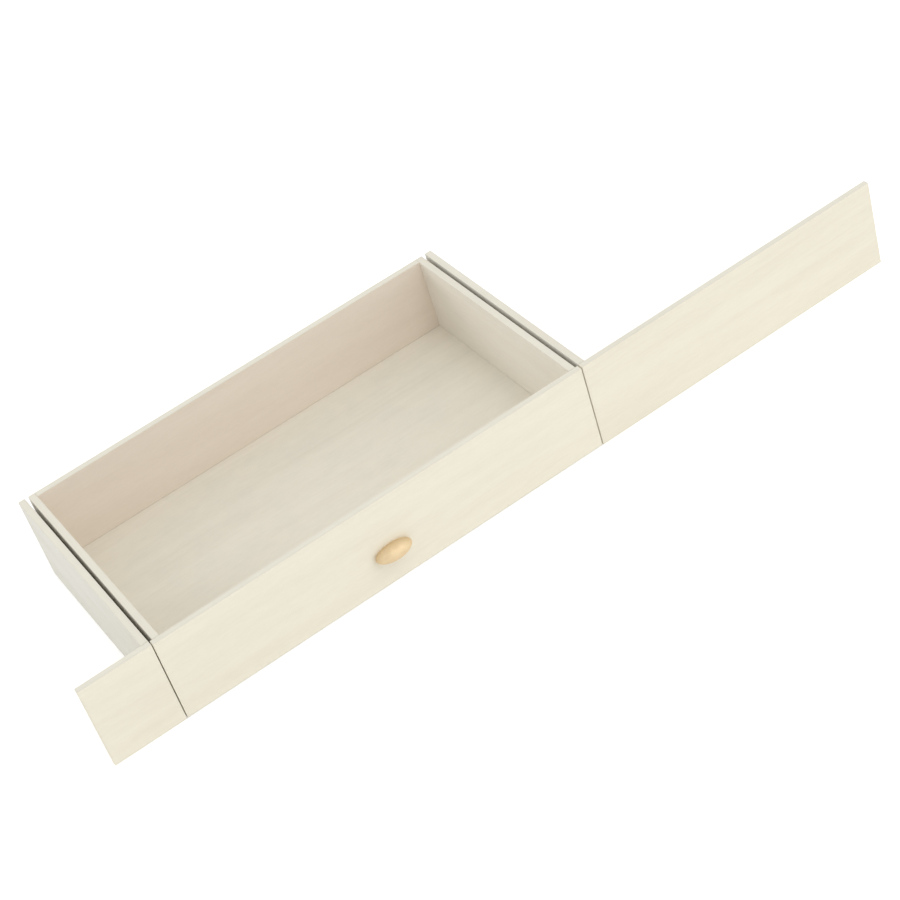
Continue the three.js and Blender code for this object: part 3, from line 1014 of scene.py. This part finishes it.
for joint, body, way in (
    ("fascia", "frame", "+Y"),
    ("front", "drawer", "+Y"),
    ("back", "drawer", "+X"),
):
    dowels = rows(
        fluted_dowel(), f"{joint}_dowels",
        (f"left_{joint}_dowel_low", way), (f"right_{joint}_dowel_low", way),
        f"left_{joint}_dowel_high", 2, DOWEL,
    )
    nodes = [f"{side}_{joint}_dowel_{level}" for side in ("left", "right") for level in ("low", "high")]
    on_body(dowels, body, nodes)

# Knob


def knob_rings():
    """The knob's section as (depth, radius, flatness) rings: the bore, the foot, then the dome."""
    widest, foot, bore = KNOB_WIDTH / 2, KNOB_FOOT_WIDTH / 2, KNOB_BORE / 2
    oval = KNOB_HEIGHT / KNOB_WIDTH
    rings = [
        (KNOB_BORE_DEPTH, bore, 1.0), (0.0, bore, 1.0),
        (0.0, foot - KNOB_FOOT_CHAMFER, oval), (KNOB_FOOT_CHAMFER, foot, oval),
        (KNOB_FOOT_WALL, foot, oval),
    ]
    turns = [i / KNOB_STEPS * math.pi / 2 for i in range(KNOB_STEPS + 1)]
    for t in turns:
        depth = KNOB_WIDEST_AT - (KNOB_WIDEST_AT - KNOB_FOOT_HEIGHT) * math.cos(t)
        rings.append((depth, foot + (widest - foot) * math.sin(t), oval))
    for t in turns[1:-1]:
        depth = KNOB_WIDEST_AT + (KNOB_PROJECTION - KNOB_WIDEST_AT) * math.sin(t)
        rings.append((depth, widest * math.cos(t), oval))
    return rings


def oval_knob():
    """A turned dome on a short foot, flattened in height, with a bore for its screw."""
    place = middle("knob")
    front = end_plane("drawer_front", "-Y")[1]
    angles = [2 * math.pi * i / KNOB_SIDES for i in range(KNOB_SIDES)]
    shape = bmesh.new()
    loops = []
    for depth, radius, flatness in knob_rings():
        loop = []
        for angle in angles:
            x = place.x + radius * math.cos(angle)
            z = place.z + flatness * radius * math.sin(angle)
            loop.append(shape.verts.new((x, front - depth, z)))
        loops.append(loop)
    skin(shape, loops)
    last = loops[-1]
    tip = shape.verts.new((place.x, front - KNOB_PROJECTION, place.z))
    for first, second in zip(last, last[1:] + last[:1]):
        shape.faces.new((first, second, tip))
    return from_shape("knob body", shape)


BRASS_METAL = metal(
    "satin brass", BRASS, (0.63, 0.67), (260.0, 260.0, 2600.0), blotch=0.02, bump=0.05
)
knob = plain(oval_knob(), "oval_knob", smooth_below=50.0)
on_body(knob, "drawer", ["knob"], BRASS_METAL)

knob_screw = screw(
    "knob_fixing", pan_head(), KNOB_SCREW_LENGTH, KNOB_SCREW_ROOT / 2, KNOB_SCREW_DIAMETER / 2,
    KNOB_SCREW_PITCH, KNOB_SCREW_TIP, KNOB_SCREW_RECESS,
)
knob_screw.data.transform(
    Matrix.Translation(start_of("knob_screw", "-Y")) @ Matrix.Rotation(WAYS["-Y"], 4, "Z")
)
on_body(knob_screw, "drawer", ["knob_screw"], SCREW_ZINC)

# Floor, light and background

# How strongly the white surroundings light the drawer, and how much the paper under it shines
AMBIENT = 0.82
FLOOR_GLOW = 0.30
FLOOR_REACH = 6.0
LAMP_AIM = Vector((0.0, 0.0, 0.06))


def seen_directly(tree):
    """1 for what the camera sees straight, in a reflection or through glass, else 0."""
    path = tree.add("ShaderNodeLightPath").outputs
    seen = tree.math("MAXIMUM", path["Is Camera Ray"], path["Is Glossy Ray"])
    return tree.math("MAXIMUM", seen, path["Is Transmission Ray"])


def make_floor():
    """White paper under the drawer. From below it can be looked through."""
    shape = bmesh.new()
    bmesh.ops.create_grid(shape, x_segments=1, y_segments=1, size=FLOOR_REACH)
    floor = as_drawn("floor", shape)
    material = bpy.data.materials.new("white paper floor")
    tree = emptied_tree(material)
    glow = tree.math("MULTIPLY", seen_directly(tree), FLOOR_GLOW)
    paper = tree.add(
        "ShaderNodeBsdfPrincipled", Base_Color=linear(PAPER), Roughness=0.9,
        Specular_IOR_Level=0.1, Emission_Color=linear(WHITE), Emission_Strength=glow,
    )
    clear = tree.add("ShaderNodeBsdfTransparent")
    below = tree.add("ShaderNodeNewGeometry").outputs["Backfacing"]
    either = tree.add("ShaderNodeMixShader")
    for socket, value in zip(either.inputs, (below, paper.outputs[0], clear.outputs[0])):
        tree.feed(socket, value)
    tree.add("ShaderNodeOutputMaterial", Surface=either.outputs[0])
    floor.data.materials.append(material)


def make_world():
    """Plain white to look at, a little weaker as a light."""
    world = bpy.data.worlds.new("white studio")
    tree = emptied_tree(world)
    strength = tree.math("MULTIPLY_ADD", seen_directly(tree), 1.0 - AMBIENT, AMBIENT)
    background = tree.add("ShaderNodeBackground", Color=linear(WHITE), Strength=strength)
    tree.add("ShaderNodeOutputWorld", Surface=background.outputs[0])
    scene.world = world


def make_lamp(name, place, share, size):
    """A soft square lamp aimed at the drawer.

    A share of 1 alone would show a surface that faces the lamp in its own colour.
    """
    place = Vector(place)
    data = bpy.data.lights.new(name, "AREA")
    data.size = size
    data.energy = share * math.pi ** 2 * (place - LAMP_AIM).length_squared
    lamp = new_object(name, data)
    lamp.location = place
    lamp.rotation_euler = (LAMP_AIM - place).to_track_quat("-Z", "Y").to_euler()


make_floor()
make_world()
make_lamp("high front lamp", (0.6, -2.4, 3.5), 0.20, 2.0)
make_lamp("right lamp", (3.2, -3.2, 1.6), 0.095, 2.6)
make_lamp("back lamp", (-3.0, 3.0, 1.6), 0.195, 2.0)
